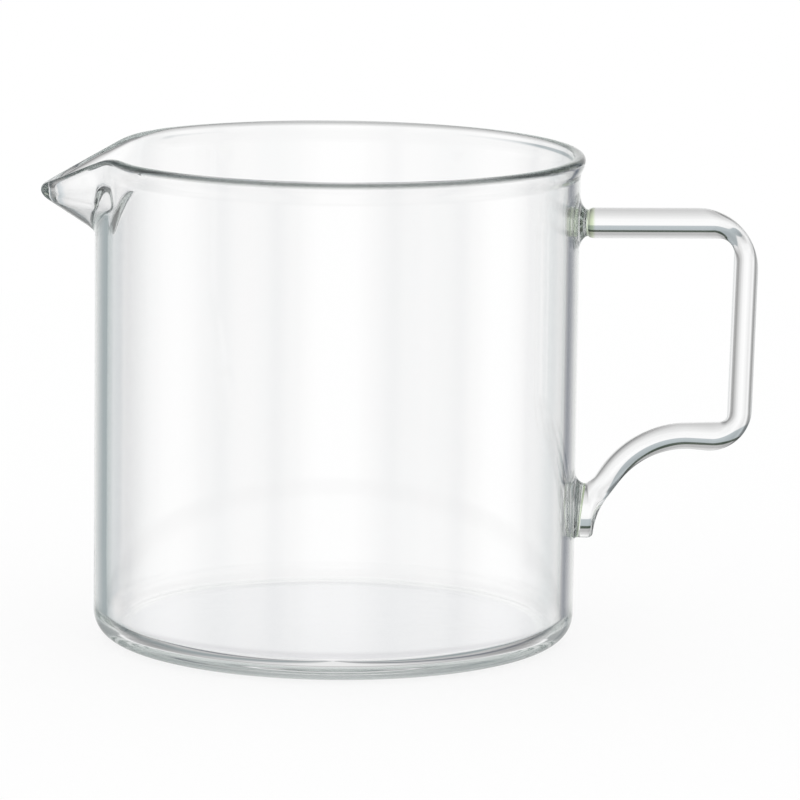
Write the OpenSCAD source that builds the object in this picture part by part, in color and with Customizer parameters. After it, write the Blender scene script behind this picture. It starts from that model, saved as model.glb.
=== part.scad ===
// Coffee server carafe in clear heat-resistant glass.
// A blown cylindrical vessel has a fire-polished rim, drawn out into a pouring spout.
// A solid glass rod, bent into a handle, is fused to the wall at an upper and a lower joint.
// The origin is the centre of the base, +Z is up, the spout points to -X and the handle to +X.

/* [Vessel] */
// Outer diameter of the wall
body_d = 85; // [70:1:120]
// Height from the base to the top of the rim
body_h = 86.3; // [78:0.1:130]
// Thickness of the wall
wall = 2.2; // [1.6:0.1:3.2]
// Thickness of the base
base_t = 2.6; // [1.8:0.1:4]
// Outer radius where the wall turns into the base
corner_r = 4.4; // [3.6:0.1:8]
// Inner radius where the wall turns into the base
inner_corner_r = 3; // [1.5:0.1:6]

/* [Rim] */
// How far the rim flares outside the wall
rim_flare = 0.85; // [0.3:0.05:1.5]
// Height over which the rim flares
flare_h = 3; // [1.5:0.1:5]

/* [Spout] */
// How far the tip stands out from the wall
spout_reach = 9.8; // [6:0.1:14]
// Depth of the spout's root below the rim
spout_depth = 15.1; // [12:0.1:20]
// How far the lip falls from the rim to the tip
lip_drop = 6.5; // [3:0.1:8]
// How far inside the wall's outer face the lip starts to fall
drop_start = 3.3; // [1:0.1:6]
// Angle between a cheek of the spout and the pouring direction
cheek_angle = 48; // [40:1:60]
// Angle over which the tip is rounded
tip_round_angle = 3; // [1:0.5:6]
// Share of the rim's flare that is pinched back beside the spout
pinch_share = 0.9; // [0:0.05:1]
// Angle from the spout to the middle of a pinch
pinch_angle = 27; // [22:1:34]
// Half angle that a pinch covers
pinch_spread = 15; // [10:1:20]
// Radius that blends the cheeks into the wall
cheek_blend = 1.6; // [0.8:0.1:3]

/* [Handle] */
// How far the handle stands out from the wall
handle_reach = 31.5; // [28:0.5:40]
// Depth of the top bar's centre line below the rim, at the wall
bar_drop = 11.9; // [10:0.1:16]
// Climb of the top bar away from the wall
bar_tilt = 1; // [0:0.1:3]
// Height from the lower bar's centre line to the top bar's, at the wall
grip_h = 37.4; // [32:0.1:42]
// Thickness of the rod in the top bar
bar_t = 5.3; // [4:0.1:7]
// Thickness of the rod in the grip
grip_t = 4.4; // [3.5:0.1:6]
// Thickness of the rod where it leaves the lower bend
elbow_t = 5; // [3.8:0.1:6]
// Thickness of the rod in the lower bar
low_t = 4.5; // [3.5:0.1:6]
// Thickness of the rod in the sweep down to the wall
sweep_t = 4.1; // [3.4:0.1:6]
// Width of the rod across the handle
rod_w = 6.6; // [5:0.1:9]
// Lean of the grip towards the vessel
grip_lean = 1.2; // [0:0.1:3]
// Outer radius of the upper bend
upper_bend_r = 10.8; // [8:0.1:13]
// Inner radius of the upper bend
upper_bend_inner_r = 2.5; // [1.5:0.1:5]
// Outer radius of the lower bend
lower_bend_r = 7.6; // [6:0.1:9]
// Inner radius of the lower bend
lower_bend_inner_r = 1.3; // [0.8:0.1:3]
// Centre line radius of the sweep down to the wall
sweep_r = 16.8; // [12:0.1:18]
// Slope of the rod where it comes down to the wall
sweep_angle = 55; // [48:1:60]

/* [Foot of the handle] */
// Height of the foot on the wall
foot_h = 9.6; // [8:0.1:12]
// Drop from the lower bar's centre line to the bottom of the foot
foot_drop = 18.6; // [16:0.1:22]
// How far the toe stands out from the wall
toe_reach = 3.3; // [2.5:0.1:4]
// Radius of the toe's corner
toe_r = 1; // [0.5:0.1:1.5]
// Lean of the rod's outer edge as it comes down to the toe
toe_lean = 8; // [0:1:20]
// Width of the foot
foot_w = 7.6; // [6:0.1:10]

/* [Fused joints] */
// Thickness of the upper joint between the wall and the rod
upper_joint_t = 1.5; // [1:0.1:3]
// Height of the upper joint where it spreads on the wall
upper_joint_h = 11; // [8:0.1:14]
// Width of the upper joint where it spreads on the wall
upper_joint_w = 11; // [8:0.1:14]
// Thickness of the rod at its neck in the upper joint
neck_t = 4.6; // [3.5:0.1:5]
// Width of the rod at its neck in the upper joint
neck_w = 5.8; // [4.5:0.1:6]
// Length over which the rod fills out from the neck
neck_run = 1.3; // [0.8:0.1:3]
// Thickness of the lower joint at its top
lower_joint_top_t = 1.8; // [1:0.1:2.2]
// Thickness of the lower joint at its bottom
lower_joint_bottom_t = 0.5; // [0.4:0.1:0.9]
// How far the lower joint spreads on the wall above the foot
lower_spread_top = 2.3; // [1:0.1:4]
// How far the lower joint spreads on the wall below the foot
lower_spread_bottom = 0.5; // [0.3:0.1:2]
// How far the lower joint spreads on the wall at each side of the foot
lower_spread_side = 2; // [1:0.1:3]

/* [Hidden] */

$fn = 128;

// Vessel: radii and heights that the sizes above lead to.
body_r = body_d / 2;
bore_r = body_r - wall;
root_z = body_h - spout_depth;
// The plain wall ends this far under the spout's root, where the drawn mouth begins.
plain_margin = 1;
mouth_z = root_z - plain_margin;
// The drawn mouth's many-sided foot is sunk this far into the plain wall's round end, on all sides.
seat_step = 0.02;
tip_r = body_r + spout_reach;
// The spout's underside climbs straight and turns up over its last share.
underside_share = 1.14;
underside_soft_share = 0.15;
// The glass of the spout is this share thicker, measured along the radius.
spout_thick_share = 0.35;
// Radius that softens the start of the falling lip.
drop_blend = 2;

// Fineness of the drawn mouth: steps round the spout, round the rest, up the wall and over the lip.
spout_half_angle = 48;
spout_steps = 46;
rest_steps = 58;
wall_rows = 11;
lip_rows = 7;
// A power above 1 draws the rows together towards the rim.
row_crowding = 1.4;

// Handle: heights and places that the sizes above lead to.
bar_z = body_h - bar_drop;
low_z = bar_z - grip_h;
neck_x = body_r + upper_joint_t;
grip_x = body_r + handle_reach - grip_t / 2;
foot_z = low_z - foot_drop;

// The centre lines of the top bar, the grip and the lower bar meet at an upper and a lower corner.
upper_corner = [grip_x, bar_z + (grip_x - neck_x) * tan(bar_tilt)];
lower_corner = [grip_x - (upper_corner[1] - low_z) * tan(grip_lean), low_z];

// The foot's seat on the lower joint runs from its heel, at the top, to its sole, at the bottom.
heel = [body_r + lower_joint_top_t, foot_z + foot_h];
sole = [body_r + lower_joint_bottom_t, foot_z];
toe = [body_r + toe_reach, foot_z + toe_r];

// The sweep's straight end aims at this share of the foot's height.
aim_share = 0.43;
aim = lerp(sole, heel, aim_share);
sweep_x = aim[0] + sweep_r * sin(sweep_angle)
        + (low_z - aim[1] - sweep_r * (1 - cos(sweep_angle))) / tan(sweep_angle);
sweep_centre = [sweep_x, low_z - sweep_r];
sweep_end = on_circle(sweep_centre, sweep_r, 90 + sweep_angle);

// Fineness of the rod: sides round it and rings along each stretch.
rod_sides = 24;
neck_rings = 5;
upper_bend_rings = 14;
lower_bend_rings = 12;
sweep_rings = 10;
foot_rings = 8;
toe_rings = 4;
joint_rings = 7;
// A power above 2 makes the rod's section a little squarer than an ellipse.
rod_power = 2.3;
// The joints reach this far into the wall before they are cut to it.
joint_root = 0.6;
// Where the joints have spread out they lie this far under the wall's face.
joint_sink = 0.08;
// Fineness of the round cut that seats the joints on the wall.
seat_fineness = 720;

// Helpers
function lerp(a, b, s) = a + (b - a) * s;
function clamp01(v) = min(max(v, 0), 1);
function ease(v) = let (s = clamp01(v)) s * s * (3 - 2 * s);
function on_circle(centre, r, a) = centre + r * [cos(a), sin(a)];
function soft_max(a, b, blend) =
    let (h = max(blend - abs(a - b), 0) / blend) max(a, b) + h * h * blend / 4;
function soft_min(a, b, blend) = -soft_max(-a, -b, blend);
function soft_ramp(v, blend) =
    v <= -blend ? 0 : v >= blend ? v : (v + blend) * (v + blend) / (4 * blend);
function soft_abs(v, blend) = sqrt(v * v + blend * blend) - blend;
function bezier(a, b, c, d, s) =
    lerp(lerp(lerp(a, b, s), lerp(b, c, s), s), lerp(lerp(b, c, s), lerp(c, d, s), s), s);

// A skin of triangles over rings of points; the rings may close on themselves, or be capped.
function ring_skin(rings, sides, closed) = [
    for (i = [0 : rings - (closed ? 1 : 2)])
        for (j = [0 : sides - 1])
            let (a = i * sides + j, b = i * sides + (j + 1) % sides)
            let (c = (i + 1) % rings * sides + j, d = (i + 1) % rings * sides + (j + 1) % sides)
            for (face = [[a, b, c], [b, d, c]]) face
];

module loft(rings, closed = false) {
    sides = len(rings[0]);
    points = [for (ring = rings) each ring];
    first = [for (j = [sides - 1 : -1 : 0]) j];
    last = [for (j = [0 : sides - 1]) (len(rings) - 1) * sides + j];
    skin = ring_skin(len(rings), sides, closed);
    polyhedron(points = points, faces = closed ? skin : concat(skin, [first, last]));
}

// Mouth of the vessel, where theta is the angle from the pouring direction.
// The pinches only take back the flare, so the way in stays as wide as the bore.
function flare_at(theta) =
    rim_flare * (1 - pinch_share * ease(1 - abs(abs(theta) - pinch_angle) / pinch_spread));

// A cheek of the spout is a straight line in plan, here as its distance from the axis.
function cheek_r(theta, apex) =
    apex * sin(cheek_angle) / sin(min(cheek_angle + soft_abs(theta, tip_round_angle), 90));

function lip_r(theta) =
    soft_max(cheek_r(theta, tip_r), body_r + flare_at(theta), cheek_blend);

function lip_half(theta) =
    wall / 2 * (1 + spout_thick_share * clamp01((lip_r(theta) - body_r) / spout_reach));

fall_start = body_r - drop_start;
fall_rate = lip_drop / (tip_r - fall_start);
function lip_top(theta) =
    body_h - fall_rate * soft_ramp(lip_r(theta) * cos(theta) - fall_start, drop_blend);
function lip_base(theta) = lip_top(theta) - lip_half(theta);

tip_z = lip_base(0);
function apex_r(z) =
    let (rise = (z - root_z) / (tip_z - root_z))
    body_r + spout_reach * soft_min(underside_share * rise, 1, underside_soft_share);

function outer_r(theta, z) =
    let (flare = flare_at(theta) * ease((z - lip_base(theta) + flare_h) / flare_h))
    soft_max(cheek_r(theta, apex_r(z)), body_r + flare, cheek_blend);

function inner_r(theta, z) =
    let (outer = outer_r(theta, z))
    outer - wall * (1 + spout_thick_share * clamp01((outer - body_r) / spout_reach));

function row_z(theta, row) =
    lerp(mouth_z, lip_base(theta), 1 - pow(1 - row / wall_rows, row_crowding));

// The section of the mouth at one angle: up the outside, over the lip and down the inside.
rest_step = (360 - 2 * spout_half_angle) / rest_steps;
bore_foot_r = bore_r / cos(rest_step / 2) + seat_step;
function mouth_section(theta) = [
    [body_r - seat_step, mouth_z - seat_step],
    for (row = [1 : wall_rows]) let (z = row_z(theta, row)) [outer_r(theta, z), z],
    for (row = [1 : lip_rows - 1])
        let (a = 180 * row / lip_rows, z = lip_base(theta))
        let (outer = outer_r(theta, z), inner = inner_r(theta, z), half = (outer - inner) / 2)
        [outer - half + half * cos(a), z + half * sin(a)],
    for (row = [wall_rows : -1 : 1]) let (z = row_z(theta, row)) [inner_r(theta, z), z],
    [bore_foot_r, mouth_z - seat_step]
];

mouth_angles = [
    for (i = [0 : spout_steps - 1]) spout_half_angle * (2 * i / spout_steps - 1),
    for (i = [0 : rest_steps - 1]) spout_half_angle + i * rest_step
];

module drawn_mouth() {
    loft([
        for (theta = mouth_angles)
            [for (p = mouth_section(theta)) [-p[0] * cos(theta), -p[0] * sin(theta), p[1]]]
    ], closed = true);
}

// Half section of a cup with a rounded lower corner.
module cup_section(r, z, corner) {
    translate([0, z]) square([r - corner, mouth_z - z]);
    translate([0, z + corner]) square([r, mouth_z - z - corner]);
    translate([r - corner, z + corner]) circle(corner);
}

module plain_wall() {
    rotate_extrude()
        difference() {
            cup_section(body_r, 0, corner_r);
            intersection() {
                cup_section(bore_r, base_t, inner_corner_r);
                translate([0, base_t]) square([body_r, body_h]);
            }
        }
}

module vessel() {
    color([0.88, 0.93, 0.91, 0.4]) {
        plain_wall();
        drawn_mouth();
    }
}

// Rings of the rod. Each lies across the handle's plane between two points of its outline.
function squarish(v) = sign(v) * pow(abs(v), 2 / rod_power);
function ring_between(p, q, w) =
    let (mid = (p + q) / 2, half = (p - q) / 2)
    [
        for (j = [0 : rod_sides - 1])
            let (a = 360 * j / rod_sides)
            let (x = mid[0] + half[0] * squarish(sin(a)), z = mid[1] + half[1] * squarish(sin(a)))
            [x, w / 2 * squarish(cos(a)), z]
    ];
function ring_at(point, heading, t, w) =
    let (across = t / 2 * [-sin(heading), cos(heading)])
    ring_between(point + across, point - across, w);

neck_part = [
    for (i = [0 : neck_rings])
        let (s = i / neck_rings, fill = sqrt(1 - (1 - s) * (1 - s)))
        let (centre = [neck_x, bar_z] + neck_run * s * [1, tan(bar_tilt)])
        ring_at(centre, bar_tilt * s, lerp(neck_t, bar_t, fill), lerp(neck_w, rod_w, fill))
];

// A bend turns from one straight stretch to the next about a corner of the centre lines.
// Its outer and inner edges are arcs of their own, each tangent to the edges of both stretches.
function point_off(corner, a, distance_a, b, distance_b) =
    corner + [distance_a * sin(b) - distance_b * sin(a), distance_b * cos(a) - distance_a * cos(b)]
    / sin(b - a);
function bend(corner, a, t_a, b, t_b, outer, inner, rings) =
    let (outer_centre = point_off(corner, a, t_a / 2 - outer, b, t_b / 2 - outer))
    let (inner_centre = point_off(corner, a, -t_a / 2 - inner, b, -t_b / 2 - inner))
    [
        for (i = [0 : rings])
            let (turn = lerp(a, b, i / rings))
            ring_between(on_circle(outer_centre, outer, turn), on_circle(inner_centre, inner, turn), rod_w)
    ];
upper_bend_part = bend(
    upper_corner, 90 + bar_tilt, bar_t, -grip_lean, grip_t,
    upper_bend_r, upper_bend_inner_r, upper_bend_rings
);
lower_bend_part = bend(
    lower_corner, -grip_lean, grip_t, -90, elbow_t,
    lower_bend_r, lower_bend_inner_r, lower_bend_rings
);
sweep_part = [
    for (i = [0 : sweep_rings])
        let (s = i / sweep_rings, a = lerp(90, 90 + sweep_angle, s))
        ring_at(on_circle(sweep_centre, sweep_r, a), a - 270, lerp(low_t, sweep_t, s), rod_w)
];

// Foot: the rod's upper edge runs to the heel, and its lower edge to the toe and round it to the sole.
sweep_across = sweep_t / 2 * [sin(sweep_angle), -cos(sweep_angle)];
fall = [-cos(sweep_angle), -sin(sweep_angle)];
edge_high = sweep_end - sweep_across;
edge_low = sweep_end + sweep_across;
// The edges keep the sweep's slope for this share of their way.
edge_share = 0.45;
// The upper edge has come this share of its way to the heel when the lower one is at the toe.
heel_share = 0.86;
high_pull = norm(heel - edge_high) * edge_share;
low_pull = norm(toe - edge_low) * edge_share;
heel_fall = heel + high_pull * [cos(sweep_angle / 2), sin(sweep_angle / 2)];
toe_fall = toe + low_pull * [sin(toe_lean), cos(toe_lean)];
function high_edge(s) = bezier(edge_high, edge_high + high_pull * fall, heel_fall, heel, s);
function low_edge(s) = bezier(edge_low, edge_low + low_pull * fall, toe_fall, toe, s);
function foot_width(s) = lerp(rod_w, foot_w, ease(s));
foot_part = [
    for (i = [1 : foot_rings])
        let (s = i / foot_rings)
        ring_between(low_edge(s), high_edge(s * heel_share), foot_width(s))
];
toe_centre = toe - [toe_r, 0];
toe_part = [
    for (i = [1 : toe_rings])
        let (s = i / toe_rings)
        ring_between(on_circle(toe_centre, toe_r, -90 * s), high_edge(lerp(heel_share, 1, s / 2)), foot_w)
];
sole_part = [ring_between(sole, heel, foot_w)];

module handle() {
    color([0.86, 0.92, 0.9, 0.45])
        loft(concat(neck_part, upper_bend_part, lower_bend_part, sweep_part, foot_part, toe_part, sole_part));
}

// A joint spreads from the rod's end face to a print on the round wall.
// grow is its spread in share of the way from the end's ring to the print's ring.
function on_wall(y, depth) = sqrt((body_r - depth) * (body_r - depth) - y * y);
function joint_ring(end, spread, s) =
    let (grow = 1 - sqrt(1 - s * s))
    [
        for (j = [0 : rod_sides - 1])
            let (y = lerp(end[j][1], spread[j][1], grow), z = lerp(end[j][2], spread[j][2], grow))
            [lerp(end[j][0], on_wall(y, joint_sink), s), y, z]
    ];
function joint_root_ring(spread) = [
    for (p = spread) [on_wall(p[1], joint_root), p[1], p[2]]
];

module joint(end, spread) {
    rings = [for (i = [0 : joint_rings]) joint_ring(end, spread, sin(90 * i / joint_rings))];
    difference() {
        loft(concat([joint_root_ring(spread)], [for (i = [joint_rings : -1 : 0]) rings[i]]));
        cylinder(r = body_r, h = body_h, $fn = seat_fineness);
    }
}

upper_print = ring_between([0, bar_z + upper_joint_h / 2], [0, bar_z - upper_joint_h / 2], upper_joint_w);
lower_print = ring_between(
    [0, sole[1] - lower_spread_bottom], [0, heel[1] + lower_spread_top], foot_w + 2 * lower_spread_side
);

module upper_joint() {
    color([0.72, 0.84, 0.76, 0.6]) joint(neck_part[0], upper_print);
}

module lower_joint() {
    color([0.72, 0.84, 0.76, 0.6]) joint(sole_part[0], lower_print);
}

vessel();
handle();
upper_joint();
lower_joint();
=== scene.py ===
"""Looks of a glass coffee server: the blown vessel, its bent rod handle, the two fused joints,
and a small studio.

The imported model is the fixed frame. The glass pieces are remade here with fine smooth meshes of
the same shape, because glass shows every facet. All lengths are metres, +Z is up, the spout points
to -X and the handle to +X.
"""

import math

import bmesh
import bpy
from bpy.props import FloatProperty, FloatVectorProperty, PointerProperty
from mathutils import Matrix, Vector


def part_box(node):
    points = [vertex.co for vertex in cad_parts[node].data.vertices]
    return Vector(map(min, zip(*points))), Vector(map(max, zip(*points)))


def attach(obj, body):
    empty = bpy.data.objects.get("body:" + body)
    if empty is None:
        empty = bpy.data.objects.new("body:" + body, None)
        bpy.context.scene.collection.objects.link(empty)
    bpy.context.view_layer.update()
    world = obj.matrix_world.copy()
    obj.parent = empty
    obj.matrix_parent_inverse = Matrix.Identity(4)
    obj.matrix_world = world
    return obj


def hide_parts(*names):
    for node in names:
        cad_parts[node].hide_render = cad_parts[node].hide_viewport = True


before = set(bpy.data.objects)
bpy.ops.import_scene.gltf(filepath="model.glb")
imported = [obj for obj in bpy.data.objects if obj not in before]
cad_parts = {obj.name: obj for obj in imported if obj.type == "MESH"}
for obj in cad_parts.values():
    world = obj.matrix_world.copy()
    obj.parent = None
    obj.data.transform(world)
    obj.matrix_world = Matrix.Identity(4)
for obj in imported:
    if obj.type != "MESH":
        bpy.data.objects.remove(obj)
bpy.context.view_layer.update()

bl_info = {
    "name": "Glass coffee server",
    "version": (1, 0, 0),
    "blender": (4, 5, 0),
    "location": "View3D > Sidebar > Coffee server",
    "description": "Builds a glass coffee server with its handle, fused joints and studio",
    "category": "Add Mesh",
}

VESSEL_LOW, VESSEL_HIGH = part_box("vessel")
FOOT_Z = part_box("handle")[0].z
MM = 0.001
QUARTER_TURN = 90
HALF_TURN = 180


# Properties

def length(label, description, default):
    return FloatProperty(
        name=label, description=description, default=default, min=0, unit="LENGTH", precision=5
    )


def angle(label, description, degrees):
    return FloatProperty(
        name=label, description=description, default=math.radians(degrees), subtype="ANGLE"
    )


def share(label, description, default):
    return FloatProperty(
        name=label, description=description, default=default, min=0, soft_max=1, subtype="FACTOR"
    )


def tint(label, description, default):
    return FloatVectorProperty(
        name=label, description=description, default=default, size=3, min=0, max=1, subtype="COLOR"
    )


class VesselSizes(bpy.types.PropertyGroup):
    wall_r: length("Wall radius", "Outer radius of the plain wall", 42.5 * MM)
    wall: length("Wall", "Thickness of the wall", 2.2 * MM)
    base: length("Base", "Thickness of the base", 2.6 * MM)
    corner_r: length("Corner", "Outer radius between the wall and the base", 4.4 * MM)
    inner_corner_r: length("Inner corner", "Inner radius between the wall and the base", 3 * MM)
    plain_h: length("Plain height", "Height at which the drawn mouth begins", 70.2 * MM)
    flare: length("Rim flare", "How far the rim flares outside the wall", 0.85 * MM)
    flare_h: length("Flare height", "Height over which the rim flares", 3 * MM)
    spout_depth: length("Spout depth", "Depth of the spout's root below the rim", 15.1 * MM)
    lip_drop: length("Lip drop", "How far the lip falls from the rim to the tip", 6.5 * MM)
    drop_start: length("Drop start", "How far inside the wall the lip starts to fall", 3.3 * MM)
    drop_blend: length("Drop blend", "Radius that softens the start of the falling lip", 2 * MM)
    cheek_blend: length("Cheek blend", "Radius that blends the cheeks into the wall", 1.6 * MM)
    cheek: angle("Cheek", "Angle between a cheek of the spout and the pouring direction", 48)
    tip_round: angle("Tip rounding", "Angle over which the tip is rounded", 3)
    pinch: angle("Pinch", "Angle from the spout to the middle of a pinch", 27)
    pinch_spread: angle("Pinch spread", "Half angle that a pinch covers", 15)
    pinch_share: share("Pinch share", "Share of the flare that a pinch presses back", 0.9)
    underside: share("Underside", "How steeply the spout's underside climbs", 1.14)
    underside_soft: share("Underside softness", "Share over which the underside turns up", 0.15)
    spout_thick: share("Spout thickness", "How much thicker the glass of the spout is", 0.35)


class HandleSizes(bpy.types.PropertyGroup):
    reach: length("Reach", "How far the handle stands out from the wall", 31.5 * MM)
    bar_z: length("Top bar height", "Height of the top bar's centre line at the wall", 74.4 * MM)
    low_z: length("Lower bar height", "Height of the lower bar's centre line", 37 * MM)
    bar_tilt: angle("Top bar climb", "Climb of the top bar away from the wall", 1)
    lean: angle("Grip lean", "Lean of the grip towards the vessel", 1.2)
    bar_t: length("Top bar", "Thickness of the rod in the top bar", 5.3 * MM)
    grip_t: length("Grip", "Thickness of the rod in the grip", 4.4 * MM)
    elbow_t: length("Elbow", "Thickness of the rod where it leaves the lower bend", 5 * MM)
    low_t: length("Lower bar", "Thickness of the rod in the lower bar", 4.5 * MM)
    sweep_t: length("Sweep", "Thickness of the rod in the sweep down to the wall", 4.1 * MM)
    rod_w: length("Rod width", "Width of the rod across the handle", 6.6 * MM)
    upper_bend_r: length("Upper bend", "Outer radius of the upper bend", 10.8 * MM)
    upper_bend_inner_r: length("Upper bend inside", "Inner radius of the upper bend", 2.5 * MM)
    lower_bend_r: length("Lower bend", "Outer radius of the lower bend", 7.6 * MM)
    lower_bend_inner_r: length("Lower bend inside", "Inner radius of the lower bend", 1.3 * MM)
    sweep_r: length("Sweep radius", "Centre line radius of the sweep down to the wall", 16.8 * MM)
    sweep: angle("Sweep slope", "Slope of the rod where it comes down to the wall", 55)
    toe_lean: angle("Toe lean", "Lean of the rod's outer edge as it comes down to the toe", 8)
    foot_h: length("Foot", "Height of the foot on the wall", 9.6 * MM)
    toe_reach: length("Toe reach", "How far the toe stands out from the wall", 3.3 * MM)
    toe_r: length("Toe radius", "Radius of the toe's corner", 1 * MM)
    foot_w: length("Foot width", "Width of the foot", 7.6 * MM)
    neck_t: length("Neck", "Thickness of the rod at its neck in the upper joint", 4.6 * MM)
    neck_w: length("Neck width", "Width of the rod at its neck in the upper joint", 5.8 * MM)
    neck_run: length("Neck run", "Length over which the rod fills out from the neck", 1.3 * MM)


class JointSizes(bpy.types.PropertyGroup):
    upper_t: length("Upper joint", "Thickness of the upper joint from wall to rod", 1.5 * MM)
    upper_d: length("Upper print", "Diameter of the upper joint's print on the wall", 11 * MM)
    lower_top_t: length("Lower joint top", "Thickness of the lower joint at its top", 1.8 * MM)
    lower_bottom_t: length("Lower joint bottom", "Thickness of the joint at its bottom", 0.5 * MM)
    spread_top: length("Spread above", "How far the joint spreads above the foot", 2.3 * MM)
    spread_bottom: length("Spread below", "How far the joint spreads below the foot", 0.5 * MM)
    spread_side: length("Spread beside", "How far the joint spreads beside the foot", 2 * MM)
    overlap: length("Overlap", "How far fused pieces reach into each other", 0.1 * MM)
    sink: length("Sink", "Depth under the wall's face where a joint has spread out", 0.08 * MM)


class GlassColours(bpy.types.PropertyGroup):
    clear: tint("Clear glass", "Colour that the glass takes on with depth", (0.76, 0.82, 0.81))
    depth: FloatProperty(
        name="Depth", description="How fast the glass takes light, per metre", default=3, min=0
    )
    # Painted shade: a dark grey-green band on the lip's outer face, standing in for the rim's dark
    # edge.
    lip: tint("Lip", "Colour of the melted outer face of the lip", (0.085, 0.1, 0.095))
    fused: tint("Fused glass", "Colour of the thick fused glass of the joints", (0.56, 0.7, 0.42))
    flamed: tint("Flamed rod", "Colour of the rod where the flame reached it", (0.76, 0.87, 0.6))


# Curves and blends

def lerp(a, b, s):
    return a + (b - a) * s


def clamp01(v):
    return min(max(v, 0), 1)


def ease(v):
    s = clamp01(v)
    return s * s * (3 - 2 * s)


def soft_max(a, b, blend):
    near = max(blend - abs(a - b), 0) / blend
    return max(a, b) + near * near * blend / 4


def soft_min(a, b, blend):
    return -soft_max(-a, -b, blend)


def soft_ramp(v, blend):
    if v <= -blend:
        return 0
    return v if v >= blend else (v + blend) ** 2 / (4 * blend)


def soft_abs(v, blend):
    return math.hypot(v, blend) - blend


def bezier(a, b, c, d, s):
    ab, bc, cd = lerp(a, b, s), lerp(b, c, s), lerp(c, d, s)
    return lerp(lerp(ab, bc, s), lerp(bc, cd, s), s)


def steps(count):
    """Shares of the way from 0 to 1 in even steps."""
    return [i / count for i in range(count + 1)]


def steps_between(count):
    """The same shares without both ends."""
    return steps(count)[1:-1]


def on_circle(centre, radius, a):
    return centre + radius * Vector((math.cos(a), math.sin(a)))


def arc(centre, radius, start, end, count):
    """Points on an arc in a section's plane, from one angle to the other."""
    return [on_circle(centre, radius, lerp(start, end, s)) for s in steps(count)]


# Meshes

STAIN_AND_SHADE = "stain_and_shade"


def skin(name, rings, stains_and_shade, poles=(None, None), creases=()):
    """A closed smooth mesh over rings of points. An end is a flat face, or runs to a single point.

    A tint share, from 0 to 1, is how much of a piece's tint shows there: painted shade on the
    vessel, the thick glass's own colour on the joints and the rod's neck. It is one value for a
    ring, or one for each of its points. A crease is a ring of sharp edges.
    """
    bm = bmesh.new()
    stain_and_shade = bm.verts.layers.float.new(STAIN_AND_SHADE)
    rows = []
    for ring, depths in zip(rings, stains_and_shade):
        row = [bm.verts.new(p) for p in ring]
        for j, vert in enumerate(row):
            vert[stain_and_shade] = depths[j] if isinstance(depths, list) else depths
        rows.append(row)
    for low, high in zip(rows, rows[1:]):
        for j in range(len(low)):
            k = (j + 1) % len(low)
            bm.faces.new((low[j], low[k], high[k], high[j]))
    creased = [rows[k] for k in creases]
    for row, pole in zip((rows[0], rows[-1]), poles):
        if pole is not None:
            tip = bm.verts.new(pole)
            for j in range(len(row)):
                bm.faces.new((row[j], row[(j + 1) % len(row)], tip))
        else:
            bm.faces.new(row)
            creased.append(row)
    for row in creased:
        for j in range(len(row)):
            bm.edges.get((row[j], row[(j + 1) % len(row)])).smooth = False
    bmesh.ops.recalc_face_normals(bm, faces=bm.faces)
    for face in bm.faces:
        face.smooth = True
    mesh = bpy.data.meshes.new(name)
    bm.to_mesh(mesh)
    bm.free()
    piece = bpy.data.objects.new(name, mesh)
    bpy.context.scene.collection.objects.link(piece)
    return piece


def settle(piece, node, material):
    """The piece takes the place of a CAD node, which it hides, takes the given material, and joins
    the root body.
    """
    piece.data.materials.append(material)
    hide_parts(node)
    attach(piece, "root")


# The vessel. Theta is the angle from the pouring direction.

SPOUT_HALF_ANGLE = math.radians(48)
SPOUT_STEPS = 200
REST_STEPS = 200
MOUTH_ROWS = 44
LIP_ROWS = 20
WALL_ROWS = 6
CORNER_ROWS = 12
BASE_RINGS = 8
# Rows crowd towards the lip, where the glass curves most.
ROW_CROWDING = 1.4
# Painted shade, set as tints of the glass's colour. The lip's dark band runs over its outer face,
# in degrees from level, and fades towards the tip.
LIP_SHADE_START, LIP_SHADE_RISE = -10, 42
LIP_SHADE_END, LIP_SHADE_FALL = 84, 36
TIP_SHADE = 0.35
TIP_SHADE_SPREAD = math.radians(7)
# Painted shade: a dark line down the middle of the spout's underside, fading in and out over the
# mouth's rows.
KEEL_SHADE = 0.8
KEEL_SHADE_SPREAD = math.radians(3)
KEEL_SHADE_FADE_ROWS = 8


class Mouth:
    """How far the drawn mouth's glass stands from the axis, and how high its lip is."""

    def __init__(self, sizes):
        self.s = sizes
        self.rim_z = VESSEL_HIGH.z
        self.tip_r = -VESSEL_LOW.x
        self.reach = self.tip_r - sizes.wall_r
        self.root_z = self.rim_z - sizes.spout_depth
        self.fall_start = sizes.wall_r - sizes.drop_start
        self.fall_rate = sizes.lip_drop / (self.tip_r - self.fall_start)
        self.tip_z = self.lip_base(0)

    def flare_at(self, theta):
        closeness = 1 - abs(abs(theta) - self.s.pinch) / self.s.pinch_spread
        return self.s.flare * (1 - self.s.pinch_share * ease(closeness))

    def cheek_r(self, theta, apex):
        turned = min(self.s.cheek + soft_abs(theta, self.s.tip_round), math.pi / 2)
        return apex * math.sin(self.s.cheek) / math.sin(turned)

    def lip_r(self, theta):
        flared = self.s.wall_r + self.flare_at(theta)
        return soft_max(self.cheek_r(theta, self.tip_r), flared, self.s.cheek_blend)

    def thickness(self, outer):
        drawn = clamp01((outer - self.s.wall_r) / self.reach)
        return self.s.wall * (1 + self.s.spout_thick * drawn)

    def lip_base(self, theta):
        r = self.lip_r(theta)
        fallen = soft_ramp(r * math.cos(theta) - self.fall_start, self.s.drop_blend)
        return self.rim_z - self.fall_rate * fallen - self.thickness(r) / 2

    def outer_r(self, theta, z):
        rise = (z - self.root_z) / (self.tip_z - self.root_z)
        climb = soft_min(self.s.underside * rise, 1, self.s.underside_soft)
        apex = self.s.wall_r + self.reach * climb
        flare = self.flare_at(theta) * ease((z - self.lip_base(theta)) / self.s.flare_h + 1)
        return soft_max(self.cheek_r(theta, apex), self.s.wall_r + flare, self.s.cheek_blend)


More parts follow.
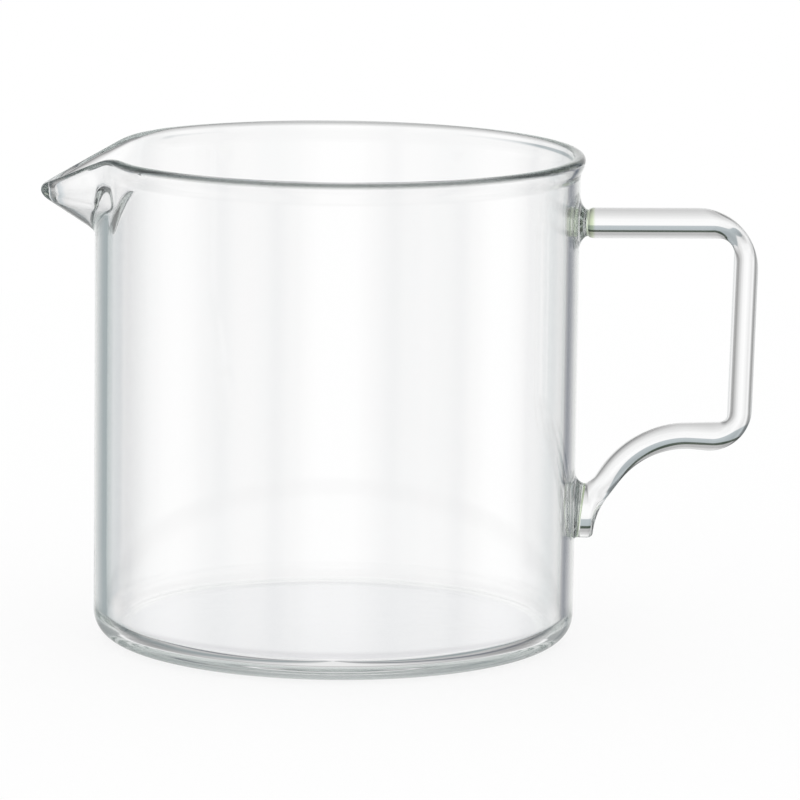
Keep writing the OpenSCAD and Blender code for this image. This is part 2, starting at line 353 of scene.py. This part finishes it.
def vessel_section(mouth, theta):
    """The outline at one angle: under the base, up the outside, over the lip, down the inside."""
    s = mouth.s
    bore_r = s.wall_r - s.wall
    lip_z = mouth.lip_base(theta)
    mouth_zs = [lerp(s.plain_h, lip_z, 1 - (1 - i) ** ROW_CROWDING) for i in steps(MOUTH_ROWS)]
    outside = [Vector((mouth.outer_r(theta, z), z)) for z in mouth_zs]
    inside = [p - Vector((mouth.thickness(p.x), 0)) for p in outside]
    middle = (outside[-1] + inside[-1]) / 2
    half = (outside[-1] - inside[-1]) / 2
    lip = [on_circle(middle, half.x, math.pi * i) for i in steps_between(LIP_ROWS)]
    outer_corner = Vector((s.wall_r - s.corner_r, s.corner_r))
    inner_corner = Vector((bore_r - s.inner_corner_r, s.base + s.inner_corner_r))
    under = [Vector((outer_corner.x * i, 0)) for i in steps_between(BASE_RINGS)]
    floor = [Vector((inner_corner.x * i, s.base)) for i in reversed(steps_between(BASE_RINGS))]
    wall = [Vector((s.wall_r, lerp(s.corner_r, s.plain_h, i))) for i in steps_between(WALL_ROWS)]
    bore = [Vector((bore_r, lerp(s.plain_h, inner_corner.y, i))) for i in steps_between(WALL_ROWS)]
    return (
        under
        + arc(outer_corner, s.corner_r, -math.pi / 2, 0, CORNER_ROWS)
        + wall + outside + lip + inside[::-1] + bore
        + arc(inner_corner, s.inner_corner_r, 0, -math.pi / 2, CORNER_ROWS)
        + floor
    )


def spout_angles():
    """Angles all the way round, closer together at the spout."""
    spout_end, spout_start = SPOUT_HALF_ANGLE, 2 * math.pi - SPOUT_HALF_ANGLE
    spout = [lerp(-SPOUT_HALF_ANGLE, SPOUT_HALF_ANGLE, i) for i in steps(SPOUT_STEPS)[:-1]]
    return spout + [lerp(spout_end, spout_start, i) for i in steps(REST_STEPS)[:-1]]


def vessel_painted_shade(angles, rows):
    """The vessel's painted shade: a dark band on the lip's outer face, and a dark line along the
    middle of the spout's underside.
    """
    # The row where the lip starts, counted from the middle of the base's underside.
    lip = BASE_RINGS - 1 + CORNER_ROWS + 1 + WALL_ROWS - 1 + MOUTH_ROWS
    stains_and_shade = [0.0] * rows
    off_tip = [min(abs(theta), math.tau - abs(theta)) / TIP_SHADE_SPREAD for theta in angles]
    for i in range(LIP_ROWS // 2 + 1):
        a = HALF_TURN * i / LIP_ROWS
        shaded = ease((a - LIP_SHADE_START) / LIP_SHADE_RISE) * ease((LIP_SHADE_END - a) / LIP_SHADE_FALL)
        stains_and_shade[lip + i] = [shaded * lerp(TIP_SHADE, 1, ease(off)) for off in off_tip]
    keel_shade = [KEEL_SHADE * (1 - ease(abs(theta) / KEEL_SHADE_SPREAD)) for theta in angles]
    for i in range(MOUTH_ROWS):
        start_and_end = ease(i / KEEL_SHADE_FADE_ROWS) * ease((MOUTH_ROWS - i) / KEEL_SHADE_FADE_ROWS)
        stains_and_shade[lip - MOUTH_ROWS + i] = [start_and_end * depth for depth in keel_shade]
    return stains_and_shade


def make_vessel(sizes):
    mouth = Mouth(sizes)
    angles = spout_angles()
    sections = [vessel_section(mouth, theta) for theta in angles]
    rings = [
        [(-p.x * math.cos(theta), -p.x * math.sin(theta), p.y) for theta, p in zip(angles, row)]
        for row in zip(*sections)
    ]
    stains_and_shade = vessel_painted_shade(angles, len(rings))
    return skin("vessel_glass", rings, stains_and_shade, poles=((0, 0, 0), (0, 0, sizes.base)))


# The handle and its joints. Points in their plane are (x, z), and each ring lies across it.

ROD_SIDES = 48
NECK_RINGS = 10
BEND_RINGS = 26
SWEEP_RINGS = 20
FOOT_RINGS = 16
TOE_RINGS = 8
JOINT_RINGS = 12
PRINT_RINGS = 5
# The rod's section is a little squarer than an ellipse, whose power is 2.
ROD_POWER = 2.3
# Where the sweep aims on the foot's inner face, from the sole to the heel.
AIM_SHARE = 0.43
# How strongly the foot's edges keep their direction, as a share of their length.
EDGE_SHARE = 0.45
# How far the upper edge has come when the lower edge reaches the toe.
HEEL_SHARE = 0.86
# The size of a joint's cap inside the rod.
CAP_SHARE = 0.96
# How far a joint's colour reaches from the rod, and the rod's colour from its neck.
STAIN_SHARE = 0.4
FLAME_SHARE = 0.4


def squarish(v):
    return math.copysign(abs(v) ** (2 / ROD_POWER), v)


def ring_between(p, q, w):
    mid, half = (p + q) / 2, (p - q) / 2
    ring = []
    for j in range(ROD_SIDES):
        a = math.tau * j / ROD_SIDES
        x, z = mid + half * squarish(math.sin(a))
        ring.append(Vector((x, w / 2 * squarish(math.cos(a)), z)))
    return ring


def ring_at(point, heading, t, w):
    across = t / 2 * Vector((-math.sin(heading), math.cos(heading)))
    return ring_between(point + across, point - across, w)


def point_off(corner, a, distance_a, b, distance_b):
    """The point off two lines through a corner, whose outward normals point along a and b."""
    return corner + Vector((
        distance_a * math.sin(b) - distance_b * math.sin(a),
        distance_b * math.cos(a) - distance_a * math.cos(b),
    )) / math.sin(b - a)


def bend(corner, a, t_a, b, t_b, outer, inner, w):
    """Turns from one stretch to the next. Its outer and inner edges are arcs of their own."""
    outer_centre = point_off(corner, a, t_a / 2 - outer, b, t_b / 2 - outer)
    inner_centre = point_off(corner, a, -t_a / 2 - inner, b, -t_b / 2 - inner)
    outer_edge = arc(outer_centre, outer, a, b, BEND_RINGS)
    inner_edge = arc(inner_centre, inner, a, b, BEND_RINGS)
    return [ring_between(p, q, w) for p, q in zip(outer_edge, inner_edge)]


class Seat:
    """Where the rod meets its two joints."""

    def __init__(self, vessel, handle, joints):
        self.wall_r = vessel.wall_r
        self.neck = Vector((vessel.wall_r + joints.upper_t, handle.bar_z))
        self.heel = Vector((vessel.wall_r + joints.lower_top_t, FOOT_Z + handle.foot_h))
        self.sole = Vector((vessel.wall_r + joints.lower_bottom_t, FOOT_Z))
        self.toe = Vector((vessel.wall_r + handle.toe_reach, FOOT_Z + handle.toe_r))
        self.neck_ring = ring_at(self.neck, 0, handle.neck_t, handle.neck_w)
        self.sole_ring = ring_between(self.sole, self.heel, handle.foot_w)


def neck_rings(seat, s):
    rings = []
    for i in steps(NECK_RINGS):
        fill = math.sqrt(1 - (1 - i) ** 2)
        centre = seat.neck + s.neck_run * i * Vector((1, math.tan(s.bar_tilt)))
        t, w = lerp(s.neck_t, s.bar_t, fill), lerp(s.neck_w, s.rod_w, fill)
        rings.append(ring_at(centre, s.bar_tilt * i, t, w))
    return rings


def bend_rings(seat, s):
    grip_x = seat.wall_r + s.reach - s.grip_t / 2
    upper = Vector((grip_x, s.bar_z + (grip_x - seat.neck.x) * math.tan(s.bar_tilt)))
    lower = Vector((grip_x - (upper.y - s.low_z) * math.tan(s.lean), s.low_z))
    quarter = math.pi / 2
    return bend(
        upper, quarter + s.bar_tilt, s.bar_t, -s.lean, s.grip_t,
        s.upper_bend_r, s.upper_bend_inner_r, s.rod_w,
    ) + bend(
        lower, -s.lean, s.grip_t, -quarter, s.elbow_t,
        s.lower_bend_r, s.lower_bend_inner_r, s.rod_w,
    )


def sweep_and_foot_rings(seat, s):
    """The sweep down to the wall, then the foot.

    The foot's upper edge runs to the heel, and its lower edge round the toe.
    """
    aim = lerp(seat.sole, seat.heel, AIM_SHARE)
    straight_fall = s.low_z - aim.y - s.sweep_r * (1 - math.cos(s.sweep))
    centre = Vector((
        aim.x + s.sweep_r * math.sin(s.sweep) + straight_fall / math.tan(s.sweep),
        s.low_z - s.sweep_r,
    ))
    quarter = math.pi / 2
    rings = []
    for i in steps(SWEEP_RINGS):
        a = quarter + s.sweep * i
        point, t = on_circle(centre, s.sweep_r, a), lerp(s.low_t, s.sweep_t, i)
        rings.append(ring_at(point, a - 3 * quarter, t, s.rod_w))
    end = on_circle(centre, s.sweep_r, quarter + s.sweep)
    across = s.sweep_t / 2 * Vector((math.sin(s.sweep), -math.cos(s.sweep)))
    fall = -Vector((math.cos(s.sweep), math.sin(s.sweep)))
    high, low = end - across, end + across
    high_pull = (seat.heel - high).length * EDGE_SHARE
    low_pull = (seat.toe - low).length * EDGE_SHARE
    heel_fall = seat.heel + high_pull * Vector((math.cos(s.sweep / 2), math.sin(s.sweep / 2)))
    toe_fall = seat.toe + low_pull * Vector((math.sin(s.toe_lean), math.cos(s.toe_lean)))

    def high_edge(i):
        return bezier(high, high + high_pull * fall, heel_fall, seat.heel, i)

    for i in steps(FOOT_RINGS)[1:]:
        low_edge = bezier(low, low + low_pull * fall, toe_fall, seat.toe, i)
        w = lerp(s.rod_w, s.foot_w, ease(i))
        rings.append(ring_between(low_edge, high_edge(i * HEEL_SHARE), w))
    toe_centre = seat.toe - Vector((s.toe_r, 0))
    for i in steps(TOE_RINGS)[1:]:
        toe_edge = on_circle(toe_centre, s.toe_r, -quarter * i)
        rings.append(ring_between(toe_edge, high_edge(lerp(HEEL_SHARE, 1, i / 2)), s.foot_w))
    return rings + [seat.sole_ring]


def make_handle(seat, sizes):
    """The neck, which the flame reached, takes some of the colour of the fused glass."""
    rings = neck_rings(seat, sizes) + bend_rings(seat, sizes) + sweep_and_foot_rings(seat, sizes)
    stains_and_shade = [0.0] * len(rings)
    for i in range(NECK_RINGS + 1):
        stains_and_shade[i] = ease((NECK_RINGS - i) / (NECK_RINGS * FLAME_SHARE))
    return skin("rod_handle", rings, stains_and_shade)


def on_wall(seat, p, depth):
    return Vector((math.sqrt((seat.wall_r - depth) ** 2 - p.y ** 2), p.y, p.z))


def make_joint(name, seat, sizes, end, spread, outward):
    """Reaches a little into the rod, spreads to a print on the wall, and reaches a little in."""
    middle = sum(end, Vector()) / len(end)
    rings = [[middle + (p - middle) * CAP_SHARE + outward * sizes.overlap for p in end]]
    stains_and_shade = [0.0]
    for i in range(JOINT_RINGS + 1):
        s = math.sin(math.pi / 2 * i / JOINT_RINGS)
        grow = 1 - math.sqrt(1 - s * s)
        ring = []
        for p, q in zip(end, spread):
            flat = lerp(p, q, grow)
            ring.append(Vector((lerp(p.x, on_wall(seat, flat, sizes.sink).x, s), flat.y, flat.z)))
        rings.append(ring)
        stains_and_shade.append(1 - ease(s / STAIN_SHARE))
    centre = sum(spread, Vector()) / len(spread)
    depth = sizes.overlap + sizes.sink
    for i in steps(PRINT_RINGS)[:-1]:
        rings.append([on_wall(seat, lerp(p, centre, i), depth) for p in spread])
        stains_and_shade.append(0.0)
    creases = (1, JOINT_RINGS + 1, JOINT_RINGS + 2)
    return skin(name, rings, stains_and_shade, poles=(None, on_wall(seat, centre, depth)), creases=creases)


def make_upper_joint(seat, handle, joints):
    half = Vector((0, joints.upper_d / 2))
    middle = Vector((0, handle.bar_z))
    spread = ring_between(middle + half, middle - half, joints.upper_d)
    outward = Vector((1, 0, 0))
    return make_joint("upper_fused_joint", seat, joints, seat.neck_ring, spread, outward)


def make_lower_joint(seat, handle, joints):
    low = Vector((0, seat.sole.y - joints.spread_bottom))
    high = Vector((0, seat.heel.y + joints.spread_top))
    spread = ring_between(low, high, handle.foot_w + 2 * joints.spread_side)
    rise = (seat.heel - seat.sole).normalized()
    outward = Vector((rise.y, 0, -rise.x))
    return make_joint("lower_fused_joint", seat, joints, seat.sole_ring, spread, outward)


# Nodes

WHITE = (1, 1, 1, 1)
# The mix node's sockets for colours. Its other sockets share their names.
MIX_A, MIX_B, MIX_RESULT = 6, 7, 2


def node(tree, kind, inputs=None, **settings):
    """A new node. Each input is set to a value, or linked from another node's output."""
    made = tree.nodes.new(kind)
    for key, value in settings.items():
        setattr(made, key, value)
    for key, value in (inputs or {}).items():
        if isinstance(value, bpy.types.NodeSocket):
            tree.links.new(value, made.inputs[key])
        else:
            made.inputs[key].default_value = value
    return made


def math_node(tree, operation, *values):
    return node(tree, "ShaderNodeMath", dict(enumerate(values)), operation=operation).outputs[0]


def ramp(tree, factor, stops):
    """A colour ramp from a list of (position, grey or colour) pairs."""
    made = node(tree, "ShaderNodeValToRGB", {"Fac": factor})
    made.color_ramp.interpolation = "EASE"
    points = made.color_ramp.elements
    for k, (position, value) in enumerate(stops):
        point = points[k] if k < 2 else points.new(position)
        point.position = position
        point.color = (*value, 1) if isinstance(value, tuple) else (value, value, value, 1)
    return made.outputs["Color"]


def mix(tree, factor, a, b, blend="MIX"):
    inputs = {"Factor": factor, MIX_A: a, MIX_B: b}
    made = node(tree, "ShaderNodeMix", inputs, data_type="RGBA", blend_type=blend)
    return made.outputs[MIX_RESULT]


def multiply(tree, a, b):
    return mix(tree, 1.0, a, b, "MULTIPLY")


def mix_shader(tree, factor, a, b):
    inputs = {"Fac": factor, 1: a.outputs[0], 2: b.outputs[0]}
    return node(tree, "ShaderNodeMixShader", inputs)


def new_tree(owner):
    owner.use_nodes = True
    owner.node_tree.nodes.clear()
    return owner.node_tree


# Glass

GLASS_IOR = 1.47
WAVE_SCALE, WAVE_DETAIL = 120.0, 2.0
WAVE_DEPTH = 0.008 * MM
# The wall's waves are drawn out along its axis, and the rod's and the joints' are even.
WALL_STRETCH = (1, 1, 0.12)
EVEN_STRETCH = (1, 1, 1)
FILM_SCALE, FILM_DETAIL = 60.0, 3.0
FILM_START, FILM_FULL = 0.35, 0.75
FILM_ROUGHNESS = 0.03
# Painted shade: the glass's colour by how far a face turns away, darker and cooler at grazing
# angles.
EDGE_PAINTED_SHADE = ((0.0, 1.0), (0.7, 1.0), (1.0, (0.74, 0.8, 0.77)))


def glass(name, colours, stain_and_shade_tint, stretch):
    """Clear glass with faint waves, a thin film, a colour that deepens inside, painted shade at
    its edges, and tints.
    """
    material = bpy.data.materials.new(name)
    tree = new_tree(material)
    place = node(tree, "ShaderNodeTexCoord").outputs["Object"]
    stretched = node(tree, "ShaderNodeMapping", {"Vector": place, "Scale": stretch}).outputs[0]
    waves = node(tree, "ShaderNodeTexNoise", {
        "Vector": stretched, "Scale": WAVE_SCALE, "Detail": WAVE_DETAIL,
    })
    bump = node(tree, "ShaderNodeBump", {
        "Strength": 1.0, "Distance": WAVE_DEPTH, "Height": waves.outputs["Fac"],
    })
    film = node(tree, "ShaderNodeTexNoise", {
        "Vector": place, "Scale": FILM_SCALE, "Detail": FILM_DETAIL,
    })
    polish = node(tree, "ShaderNodeMapRange", {
        0: film.outputs["Fac"], 1: FILM_START, 2: FILM_FULL, 3: 0.0, 4: FILM_ROUGHNESS,
    })
    # Painted shade: the glass's colour darkens towards grazing angles, which draws dark edges
    # round every piece.
    edge = node(tree, "ShaderNodeLayerWeight", {"Blend": 0.5}).outputs["Facing"]
    # The tint is painted shade on the vessel's lip and spout, and the thick glass's own green on
    # the joints and the rod's neck.
    stain_and_shade = node(tree, "ShaderNodeAttribute", attribute_name=STAIN_AND_SHADE).outputs["Fac"]
    surface = node(tree, "ShaderNodeBsdfPrincipled", {
        "Base Color": mix(tree, stain_and_shade, ramp(tree, edge, EDGE_PAINTED_SHADE), (*stain_and_shade_tint, 1)),
        "Roughness": polish.outputs[0], "IOR": GLASS_IOR, "Transmission Weight": 1.0,
        "Normal": bump.outputs["Normal"],
    })
    inside = node(tree, "ShaderNodeVolumeAbsorption", {
        "Color": (*colours.clear, 1), "Density": colours.depth,
    })
    node(tree, "ShaderNodeOutputMaterial", {
        "Surface": surface.outputs[0], "Volume": inside.outputs[0],
    })
    return material


# The light tent, which is set up for the front view. The stops are (degrees, light): those of a
# light go round, in every span of the way, and those of a sky go up.

VIEW_TURN = math.radians(4)
SCRIM_SPAN = 45
SCRIM_LIGHT = (
    (-22.5, (0.66, 0.71, 0.73)), (-18, (0.7, 0.75, 0.77)), (-14, (0.77, 0.81, 0.83)), (-9, 0.93),
    (-5, 0.98), (-3, 1.0), (13, 1.0), (18, 0.96), (22.5, (0.66, 0.71, 0.73)),
)
ROD_LIGHT = (
    (-22.5, 0.3), (-19, 0.4), (-15, 0.92), (-9, 0.85), (-4, 0.95), (0, 1.0), (7, 0.95), (11, 0.82),
    (16, 0.6), (22.5, 0.3),
)
ROD_SKY = (
    (-90, 0.9), (-57, 0.75), (-43, 0.64), (-35, 0.7), (-28, 0.79), (-20, 0.9), (-15, 1.0),
    (-3.2, 1.0), (-2.2, (0.5, 0.55, 0.57)), (7.4, (0.46, 0.51, 0.53)), (8.2, (0.05, 0.07, 0.05)),
    (12.6, (0.05, 0.07, 0.05)), (14, 0.5), (19, 0.48), (29, 0.68), (45, 1.0),
)
MIRROR_SPAN = 90
MIRROR_LIGHT = (
    (-45, 0.6), (-38, (0.4, 0.45, 0.46)), (-30, (0.35, 0.4, 0.41)), (-22, (0.5, 0.53, 0.54)),
    (-14, 0.82), (-8, 1.0), (10, 1.0), (20, 0.64), (29, (0.16, 0.18, 0.22)), (36, 0.6), (45, 0.6),
)
MIRROR_SKY = (
    (-90, 0.85), (-50, 0.85), (-39, 0.66), (-32, 0.46), (-17, 0.52), (-12.5, 1.0), (11, 1.0),
    (20, 0.52), (90, 0.46),
)
CURLED_GLOW = (0.4, 0.42, 0.42, 1)
TRAPPED_GLOW = (0.72, 0.74, 0.73, 1)
# How often light has passed a face of glass, or been mirrored by one.
ONE_PIECE_FACES = 2.0
COUNT_SLACK = 0.5
MIRRORED_AFTER = 0.5
CURLED_AFTER = 6
TRAPPED_AFTER = 12
# Trapped light needs this many bounces to come out of the glass.
LIGHT_BOUNCES = 128


def going_round(tree, turn, span, stops):
    """Light that goes through the same stops in every span of the way round."""
    off_middle = math_node(tree, "WRAP", turn, span / 2, -span / 2)
    place = math_node(tree, "ADD", math_node(tree, "DIVIDE", off_middle, span), 0.5)
    return ramp(tree, place, [(a / span + 0.5, light) for a, light in stops])


def going_up(tree, elevation, stops):
    """Light that goes through its stops from straight below to straight above."""
    place = math_node(tree, "ADD", elevation, QUARTER_TURN)
    place = math_node(tree, "DIVIDE", place, HALF_TURN)
    return ramp(tree, place, [((a + QUARTER_TURN) / HALF_TURN, light) for a, light in stops])


def light_tent():
    """White to the camera and to the paper. Only light that comes by glass sees the tent's tones.

    The vessel lets through a ring of bright scrims, and the rod a ring with darker gaps and a dark
    bar. What the glass mirrors is a ring with dark gaps, which draws its edges. Light that curls
    round inside a corner, or stays trapped for longer, has no direction left and takes one grey.
    """
    world = bpy.data.worlds.new("light_tent")
    bpy.context.scene.world = world
    tree = new_tree(world)
    direction = node(tree, "ShaderNodeTexCoord").outputs["Generated"]
    axes = node(tree, "ShaderNodeSeparateXYZ", {0: direction}).outputs
    azimuth = math_node(tree, "ARCTAN2", axes["X"], axes["Y"])
    azimuth = math_node(tree, "MULTIPLY", azimuth, math.degrees(1))
    turn = math_node(tree, "ADD", azimuth, math.degrees(VIEW_TURN))
    elevation = math_node(tree, "ARCSINE", axes["Z"])
    elevation = math_node(tree, "MULTIPLY", elevation, math.degrees(1))

    path = node(tree, "ShaderNodeLightPath").outputs
    passed, bounced = path["Transmission Depth"], path["Glossy Depth"]
    one_piece = math_node(tree, "COMPARE", passed, ONE_PIECE_FACES, COUNT_SLACK)
    straight = math_node(tree, "LESS_THAN", bounced, MIRRORED_AFTER)
    mirrored = math_node(tree, "GREATER_THAN", bounced, MIRRORED_AFTER)
    curled = math_node(tree, "GREATER_THAN", bounced, CURLED_AFTER)
    trapped = math_node(tree, "GREATER_THAN", bounced, TRAPPED_AFTER)

    scrims = going_round(tree, turn, SCRIM_SPAN, SCRIM_LIGHT)
    by_rod = multiply(
        tree, going_round(tree, turn, SCRIM_SPAN, ROD_LIGHT), going_up(tree, elevation, ROD_SKY)
    )
    through = mix(tree, math_node(tree, "MULTIPLY", one_piece, straight), scrims, by_rod)
    mirrors = multiply(
        tree, going_round(tree, turn, MIRROR_SPAN, MIRROR_LIGHT),
        going_up(tree, elevation, MIRROR_SKY),
    )
    lost = mix(tree, trapped, CURLED_GLOW, TRAPPED_GLOW)
    by_glass = mix(tree, mirrored, through, mix(tree, curled, mirrors, lost))
    plain = math_node(tree, "MAXIMUM", path["Is Camera Ray"], path["Is Diffuse Ray"])
    colour = mix(tree, plain, by_glass, WHITE)
    background = node(tree, "ShaderNodeBackground", {"Color": colour, "Strength": 1.0})
    node(tree, "ShaderNodeOutputWorld", {"Surface": background.outputs[0]})


# The paper and the camera

FLOOR_R = 400 * MM
FLOOR_SIDES = 128
FLOOR_GAP = 0.15 * MM
SHADE_SHARE = 0.15
UNDER_R = 36 * MM
# Painted shadow: the disc under the base glows a little dimmer and bluer than white paper.
UNDER_PAINTED_SHADOW = (0.885, 0.885, 0.905, 1)
CAMERA_DISTANCE = 1.005
CAMERA_HEIGHT = 0.216
CAMERA_PITCH = math.radians(9.82)
CAMERA_PAN = math.radians(0.647)
CAMERA_ROLL = math.radians(0.733)
# The lens as a share of the sensor: pixels of distance over pixels of width.
FOCAL_SHARE = 5785 / 800
SENSOR = 36.0
NEAR_CLIP, FAR_CLIP = 0.05, 10


def paper():
    """White paper that keeps a soft shadow.

    Glass sees a disc of it under the base that glows a little dimmer than the paper, as a painted
    shadow. Beyond that, glass looks through it at the tent.
    """
    material = bpy.data.materials.new("white_paper")
    tree = new_tree(material)
    lit = node(tree, "ShaderNodeBsdfDiffuse", {"Color": WHITE})
    glow = node(tree, "ShaderNodeEmission", {"Color": WHITE, "Strength": 1.0})
    white = mix_shader(tree, 1 - SHADE_SHARE, lit, glow)
    disc = node(tree, "ShaderNodeEmission", {"Color": UNDER_PAINTED_SHADOW, "Strength": 1.0})
    open_paper = node(tree, "ShaderNodeBsdfTransparent")
    place = node(tree, "ShaderNodeTexCoord").outputs["Object"]
    radius = node(tree, "ShaderNodeVectorMath", {0: place}, operation="LENGTH").outputs["Value"]
    by_glass = mix_shader(tree, math_node(tree, "GREATER_THAN", radius, UNDER_R), disc, open_paper)
    seen = node(tree, "ShaderNodeLightPath").outputs["Is Camera Ray"]
    shown = mix_shader(tree, seen, by_glass, white)
    node(tree, "ShaderNodeOutputMaterial", {"Surface": shown.outputs[0]})
    return material


def make_floor():
    mesh = bpy.data.meshes.new("floor")
    angles = [math.tau * i for i in steps(FLOOR_SIDES)[1:]]
    rim = [FLOOR_R * Vector((math.cos(a), math.sin(a), 0)) for a in angles]
    mesh.from_pydata(rim, [], [range(len(rim))])
    mesh.materials.append(paper())
    floor = bpy.data.objects.new("floor", mesh)
    floor.location.z = -FLOOR_GAP
    bpy.context.scene.collection.objects.link(floor)


def rotation(a, axis):
    return Matrix.Rotation(a, 4, axis)


def make_camera():
    data = bpy.data.cameras.new("camera")
    data.sensor_width = SENSOR
    data.lens = FOCAL_SHARE * SENSOR
    data.clip_start, data.clip_end = NEAR_CLIP, FAR_CLIP
    camera = bpy.data.objects.new("camera", data)
    bpy.context.scene.collection.objects.link(camera)
    place = rotation(VIEW_TURN, "Z") @ Vector((0, -CAMERA_DISTANCE, CAMERA_HEIGHT))
    aim = rotation(VIEW_TURN - CAMERA_PAN, "Z") @ rotation(math.pi / 2 - CAMERA_PITCH, "X")
    camera.matrix_world = Matrix.Translation(place) @ aim @ rotation(CAMERA_ROLL, "Z")
    bpy.context.scene.camera = camera


# Operators

class CARAFE_OT_vessel(bpy.types.Operator):
    """Blow the vessel with its rim and spout"""
    bl_idname = "carafe.vessel"
    bl_label = "Vessel"

    def execute(self, context):
        colours = context.scene.glass_colours
        material = glass("vessel_glass", colours, colours.lip, WALL_STRETCH)
        settle(make_vessel(context.scene.vessel_sizes), "vessel", material)
        return {"FINISHED"}


class CARAFE_OT_handle(bpy.types.Operator):
    """Bend the rod into the handle"""
    bl_idname = "carafe.handle"
    bl_label = "Handle"

    def execute(self, context):
        scene = context.scene
        colours = scene.glass_colours
        material = glass("rod_glass", colours, colours.flamed, EVEN_STRETCH)
        seat = Seat(scene.vessel_sizes, scene.handle_sizes, scene.joint_sizes)
        settle(make_handle(seat, scene.handle_sizes), "handle", material)
        return {"FINISHED"}


class CARAFE_OT_joints(bpy.types.Operator):
    """Fuse the handle to the wall at its two joints"""
    bl_idname = "carafe.joints"
    bl_label = "Fused joints"

    def execute(self, context):
        scene = context.scene
        colours = scene.glass_colours
        material = glass("fused_glass", colours, colours.fused, EVEN_STRETCH)
        seat = Seat(scene.vessel_sizes, scene.handle_sizes, scene.joint_sizes)
        upper = make_upper_joint(seat, scene.handle_sizes, scene.joint_sizes)
        lower = make_lower_joint(seat, scene.handle_sizes, scene.joint_sizes)
        settle(upper, "upper_joint", material)
        settle(lower, "lower_joint", material)
        return {"FINISHED"}


class CARAFE_OT_studio(bpy.types.Operator):
    """Set the white floor, the light tent and the camera round the server"""
    bl_idname = "carafe.studio"
    bl_label = "Studio"

    def execute(self, context):
        context.scene.view_settings.view_transform = "Standard"
        paths = context.scene.cycles
        paths.max_bounces = paths.glossy_bounces = paths.transmission_bounces = LIGHT_BOUNCES
        light_tent()
        make_floor()
        make_camera()
        return {"FINISHED"}


class CARAFE_PT_sidebar(bpy.types.Panel):
    bl_label = "Coffee server"
    bl_idname = "CARAFE_PT_sidebar"
    bl_space_type = "VIEW_3D"
    bl_region_type = "UI"
    bl_category = "Coffee server"

    def draw(self, context):
        for operator, group in SECTIONS:
            box = self.layout.box()
            box.operator(operator.bl_idname)
            if group:
                sizes = getattr(context.scene, group)
                for name in sizes.__annotations__:
                    box.prop(sizes, name)


GROUPS = {
    "vessel_sizes": VesselSizes,
    "handle_sizes": HandleSizes,
    "joint_sizes": JointSizes,
    "glass_colours": GlassColours,
}
SECTIONS = (
    (CARAFE_OT_vessel, "vessel_sizes"),
    (CARAFE_OT_handle, "handle_sizes"),
    (CARAFE_OT_joints, "joint_sizes"),
    (CARAFE_OT_studio, None),
)
CLASSES = (*GROUPS.values(), *(operator for operator, _ in SECTIONS), CARAFE_PT_sidebar)


def register():
    for made in CLASSES:
        bpy.utils.register_class(made)
    for name, group in GROUPS.items():
        setattr(bpy.types.Scene, name, PointerProperty(type=group))


def unregister():
    for name in GROUPS:
        delattr(bpy.types.Scene, name)
    for made in reversed(CLASSES):
        bpy.utils.unregister_class(made)


def main():
    register()
    bpy.ops.carafe.vessel()
    bpy.ops.carafe.handle()
    bpy.ops.carafe.joints()
    bpy.ops.carafe.studio()


if __name__ == "__main__":
    main()
